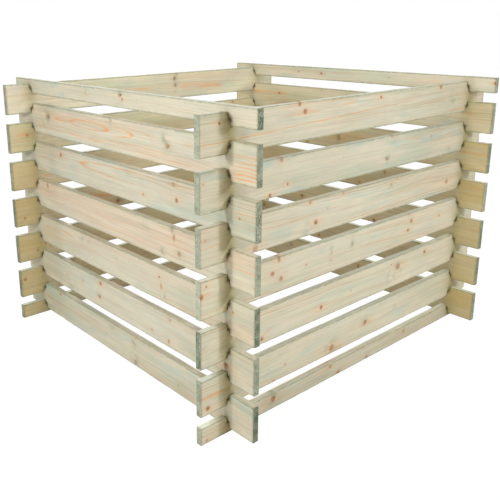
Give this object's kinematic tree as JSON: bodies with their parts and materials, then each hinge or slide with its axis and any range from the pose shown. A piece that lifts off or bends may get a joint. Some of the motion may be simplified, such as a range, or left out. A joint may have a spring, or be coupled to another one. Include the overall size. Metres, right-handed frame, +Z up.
{
  "type": "slatted compost bin",
  "caption": "Open-topped garden compost bin of notched timber boards that stack crosswise, with air gaps between them and no fasteners.",
  "frame": {"origin": "on the ground, at the middle of the bin's footprint", "axes": "+X along the front boards to the right, +Y from the front wall to the back wall, +Z up"},
  "size_m": [1.12, 1.05, 0.752],
  "materials": {
    "pressure_treated_pine": "planed, unpainted, matt"
  },
  "bodies": {
    "ground_course": {"front_ground_board": "pressure_treated_pine", "back_ground_board": "pressure_treated_pine"},
    "side_course_1": {"left_board_1": "pressure_treated_pine", "right_board_1": "pressure_treated_pine"},
    "end_course_1": {"front_board_1": "pressure_treated_pine", "back_board_1": "pressure_treated_pine"},
    "side_course_2": {"left_board_2": "pressure_treated_pine", "right_board_2": "pressure_treated_pine"},
    "end_course_2": {"front_board_2": "pressure_treated_pine", "back_board_2": "pressure_treated_pine"},
    "side_course_3": {"left_board_3": "pressure_treated_pine", "right_board_3": "pressure_treated_pine"},
    "end_course_3": {"front_board_3": "pressure_treated_pine", "back_board_3": "pressure_treated_pine"},
    "side_course_4": {"left_board_4": "pressure_treated_pine", "right_board_4": "pressure_treated_pine"},
    "end_course_4": {"front_board_4": "pressure_treated_pine", "back_board_4": "pressure_treated_pine"},
    "side_course_5": {"left_board_5": "pressure_treated_pine", "right_board_5": "pressure_treated_pine"},
    "end_course_5": {"front_board_5": "pressure_treated_pine", "back_board_5": "pressure_treated_pine"},
    "side_course_6": {"left_board_6": "pressure_treated_pine", "right_board_6": "pressure_treated_pine"},
    "end_course_6": {"front_board_6": "pressure_treated_pine", "back_board_6": "pressure_treated_pine"},
    "left_top": {"left_top_board": "pressure_treated_pine"},
    "right_top": {"right_top_board": "pressure_treated_pine"}
  },
  "joints": [
    {"name": "side_course_1_lift", "type": "slide", "parent": "ground_course", "child": "side_course_1", "axis": [0, 0, 1], "range_m": [0, 0.045]},
    {"name": "end_course_1_lift", "type": "slide", "parent": "side_course_1", "child": "end_course_1", "axis": [0, 0, 1], "range_m": [0, 0.045]},
    {"name": "side_course_2_lift", "type": "slide", "parent": "end_course_1", "child": "side_course_2", "axis": [0, 0, 1], "range_m": [0, 0.045]},
    {"name": "end_course_2_lift", "type": "slide", "parent": "side_course_2", "child": "end_course_2", "axis": [0, 0, 1], "range_m": [0, 0.045]},
    {"name": "side_course_3_lift", "type": "slide", "parent": "end_course_2", "child": "side_course_3", "axis": [0, 0, 1], "range_m": [0, 0.045]},
    {"name": "end_course_3_lift", "type": "slide", "parent": "side_course_3", "child": "end_course_3", "axis": [0, 0, 1], "range_m": [0, 0.045]},
    {"name": "side_course_4_lift", "type": "slide", "parent": "end_course_3", "child": "side_course_4", "axis": [0, 0, 1], "range_m": [0, 0.045]},
    {"name": "end_course_4_lift", "type": "slide", "parent": "side_course_4", "child": "end_course_4", "axis": [0, 0, 1], "range_m": [0, 0.045]},
    {"name": "side_course_5_lift", "type": "slide", "parent": "end_course_4", "child": "side_course_5", "axis": [0, 0, 1], "range_m": [0, 0.045]},
    {"name": "end_course_5_lift", "type": "slide", "parent": "side_course_5", "child": "end_course_5", "axis": [0, 0, 1], "range_m": [0, 0.045]},
    {"name": "side_course_6_lift", "type": "slide", "parent": "end_course_5", "child": "side_course_6", "axis": [0, 0, 1], "range_m": [0, 0.045]},
    {"name": "end_course_6_lift", "type": "slide", "parent": "side_course_6", "child": "end_course_6", "axis": [0, 0, 1], "range_m": [0, 0.045]},
    {"name": "left_top_lift", "type": "slide", "parent": "end_course_6", "child": "left_top", "axis": [0, 0, 1], "range_m": [0, 0.045]},
    {"name": "right_top_lift", "type": "slide", "parent": "end_course_6", "child": "right_top", "axis": [0, 0, 1], "range_m": [0, 0.045]}
  ]
}
